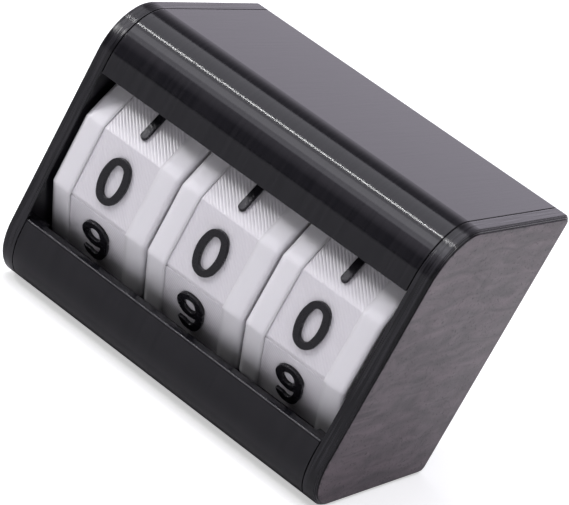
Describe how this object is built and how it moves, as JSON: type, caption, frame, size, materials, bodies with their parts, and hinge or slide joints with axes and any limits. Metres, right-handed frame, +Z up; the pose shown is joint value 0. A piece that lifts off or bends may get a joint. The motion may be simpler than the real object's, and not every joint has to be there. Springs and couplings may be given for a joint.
{
  "type": "score counter",
  "caption": "Hand-turned score counter: a box with a rounded nose and an open front window, with faceted number wheels side by side on one shaft, each with raised numerals and a click stop.",
  "frame": {"origin": "centre of the base, on the surface it stands on", "axes": "+X along the shaft, to the right as seen from the front; -Y out of the window; +Z up"},
  "size_m": [0.066, 0.0441, 0.0504],
  "materials": {
    "housing": "black printed plastic, satin, fine layer lines",
    "wheel": "white printed plastic, slightly translucent, satin",
    "band": "white printed plastic, diagonal top layer lines",
    "numeral": "black printed plastic, slightly glossy",
    "axle": "grey printed plastic, smooth",
    "clicker": "grey printed plastic, springy",
    "spacer": "light grey printed plastic"
  },
  "bodies": {
    "housing": {"housing_shell": "housing", "left_end_cap": "housing", "right_end_cap": "housing", "axle": "axle", "hundreds_detent_spring": "clicker", "hundreds_spacer_sleeve": "spacer", "hundreds_thrust_washer": "spacer", "tens_detent_spring": "clicker", "tens_spacer_sleeve": "spacer", "tens_thrust_washer": "spacer", "units_detent_spring": "clicker", "units_spacer_sleeve": "spacer", "units_thrust_washer": "spacer"},
    "hundreds_wheel": {"hundreds_drum": "wheel", "hundreds_number_band": "band", "hundreds_numerals": "numeral"},
    "tens_wheel": {"tens_drum": "wheel", "tens_number_band": "band", "tens_numerals": "numeral"},
    "units_wheel": {"units_drum": "wheel", "units_number_band": "band", "units_numerals": "numeral"}
  },
  "joints": [
    {"name": "hundreds_spin", "type": "hinge", "parent": "housing", "child": "hundreds_wheel", "pos_m": [-0.02, -0.00276, 0.0257], "axis": [1, 0, 0], "continuous": true, "deforming": ["hundreds_detent_spring"]},
    {"name": "tens_spin", "type": "hinge", "parent": "housing", "child": "tens_wheel", "pos_m": [0, -0.00276, 0.0257], "axis": [1, 0, 0], "continuous": true, "deforming": ["tens_detent_spring"]},
    {"name": "units_spin", "type": "hinge", "parent": "housing", "child": "units_wheel", "pos_m": [0.02, -0.00276, 0.0257], "axis": [1, 0, 0], "continuous": true, "deforming": ["units_detent_spring"]}
  ]
}
